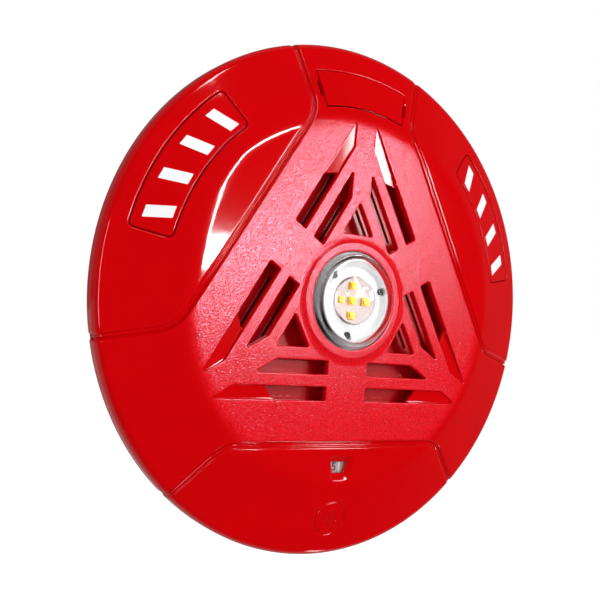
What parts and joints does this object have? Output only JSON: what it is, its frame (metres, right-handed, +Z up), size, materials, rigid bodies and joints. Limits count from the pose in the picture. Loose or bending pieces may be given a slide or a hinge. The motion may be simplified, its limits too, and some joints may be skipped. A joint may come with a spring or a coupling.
{
  "type": "horn strobe",
  "caption": "Round red wall-mounted horn strobe with a clear domed lens, slotted sound vents, a twist-on head and a screw-fixed wall base.",
  "frame": {"origin": "centre of the wall base's back face, on the axis of the round face", "axes": "+Z up, with the name plate at the top; the face looks along -Y, away from the wall; +X is to the right for a viewer in front"},
  "size_m": [0.173, 0.042, 0.173],
  "materials": {
    "red_plastic": "gloss moulded, part of it finely beaded",
    "red_label": "smooth gloss",
    "red_plate": "smooth gloss",
    "red_baffle": "smooth gloss",
    "clear_lens": "clear polished",
    "clear_optic": "clear polished",
    "white_gloss": "gloss",
    "white_board": "matte solder mask",
    "yellow_phosphor": "matte",
    "charcoal_plastic": "fine matte",
    "black_plastic": "satin",
    "zinc_steel": "zinc plated",
    "dark_steel": "black plated",
    "brass_strip": "rolled",
    "gasket_rubber": "matte",
    "green_board": "solder mask",
    "capacitor_sleeve": "sleeved",
    "ferrite": "sintered",
    "copper_wire": "enamelled wire",
    "chip_black": "moulded",
    "piezo_white": "silvered ceramic",
    "selector_strip": "matte, plain numerals"
  },
  "bodies": {
    "base": {"mounting_base": "charcoal_plastic", "terminal_block": "black_plastic", "terminal_clamps": "zinc_steel", "terminal_screws": "zinc_steel", "contact_leaves": "brass_strip"},
    "head": {"front_cover": "red_plastic", "label_left": "red_label", "label_right": "red_label", "lens": "clear_lens", "lens_gasket": "gasket_rubber", "reflector": "white_gloss", "inner_optic": "clear_optic", "led_board": "white_board", "led_packages": "yellow_phosphor", "reflector_screws": "dark_steel", "sound_baffle": "red_baffle", "baffle_screws": "dark_steel", "main_board": "green_board", "board_screws": "zinc_steel", "capacitors": "capacitor_sleeve", "inductor": "ferrite", "inductor_coil": "copper_wire", "circuit_chips": "chip_black", "led_header": "white_gloss", "candela_switch": "black_plastic", "tone_switch": "black_plastic", "sounder_housing": "black_plastic", "piezo_plate": "brass_strip", "piezo_ceramic": "piezo_white", "sounder_ring": "black_plastic", "rear_chassis": "charcoal_plastic", "cover_screws": "dark_steel", "lock_screw": "dark_steel", "contact_pins": "brass_strip"},
    "name_plate": {"name_plate": "red_plate"},
    "candela_selector": {"candela_selector": "selector_strip"},
    "tone_dial": {"tone_dial": "white_gloss"}
  },
  "joints": [
    {"name": "head_twist", "type": "hinge", "parent": "base", "child": "head", "pos_m": [0, 0, 0], "axis": [0, -1, 0], "range_deg": [0, 14]},
    {"name": "name_plate_pull", "type": "slide", "parent": "head", "child": "name_plate", "axis": [0, -1, 0], "range_m": [0, 0.012]},
    {"name": "candela_slide", "type": "slide", "parent": "head", "child": "candela_selector", "axis": [1, 0, 0], "range_m": [0, 0.016]},
    {"name": "tone_turn", "type": "hinge", "parent": "head", "child": "tone_dial", "pos_m": [0.04, -0.0108, -0.036], "axis": [0, -1, 0], "range_deg": [0, 270]}
  ]
}
